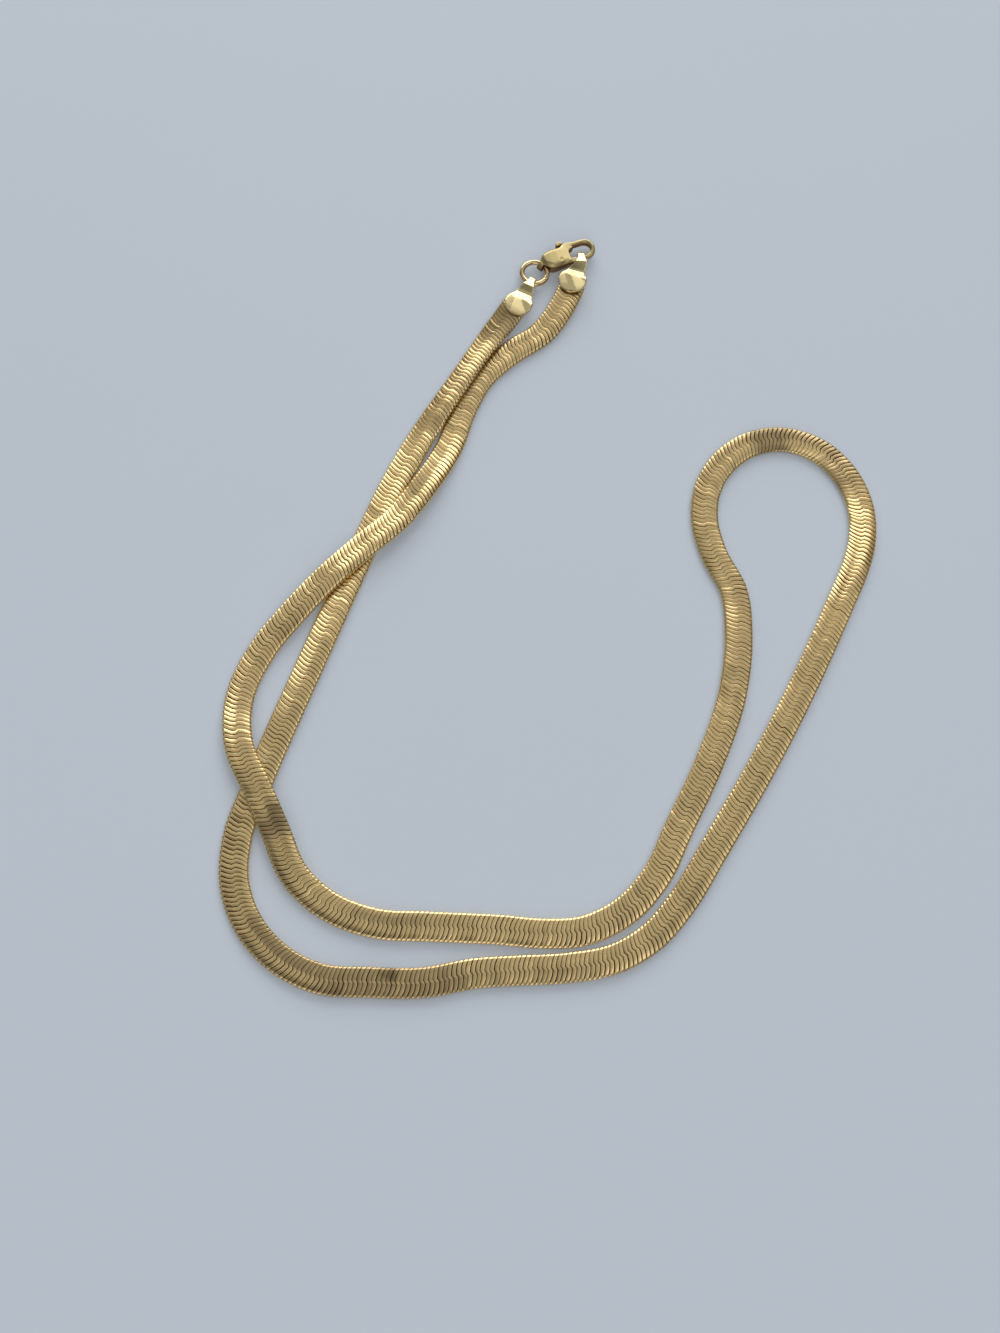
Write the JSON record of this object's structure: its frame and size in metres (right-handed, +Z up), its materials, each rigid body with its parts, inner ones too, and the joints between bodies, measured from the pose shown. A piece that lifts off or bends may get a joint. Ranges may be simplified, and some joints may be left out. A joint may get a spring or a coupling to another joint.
{
  "type": "flat chain necklace",
  "caption": "Flat herringbone chain necklace in yellow metal, closed on a lobster clasp with folded end caps and a jump ring, lying in loose loops",
  "frame": {"origin": "centre of the necklace's outline on the table that it lies on", "axes": "+Z up from the table, +Y along the necklace's longest extent towards the clasp, +X to the right of it"},
  "size_m": [0.1156, 0.1433, 0.0028],
  "materials": {
    "chain": "satin gold plate on polished links, browner where it is tarnished",
    "cap": "polished gold plate",
    "ring": "polished, slightly rosy gold plate",
    "clasp": "satin gold plate, worn brown in its corners"
  },
  "bodies": {
    "root": {"chain_outer_run": "chain", "chain_inner_run": "chain", "end_cap_left": "cap", "end_cap_right": "cap", "jump_ring": "ring", "clasp_body": "clasp", "lever_pin": "clasp"},
    "lever": {"clasp_lever": "clasp"}
  },
  "joints": [
    {"name": "lever_hinge", "type": "hinge", "parent": "root", "child": "lever", "pos_m": [0.00129, 0.06645, 0.0014], "axis": [0, 0, 1], "range_deg": [0, 20], "stiffness_Nm_per_rad": 0.002}
  ]
}
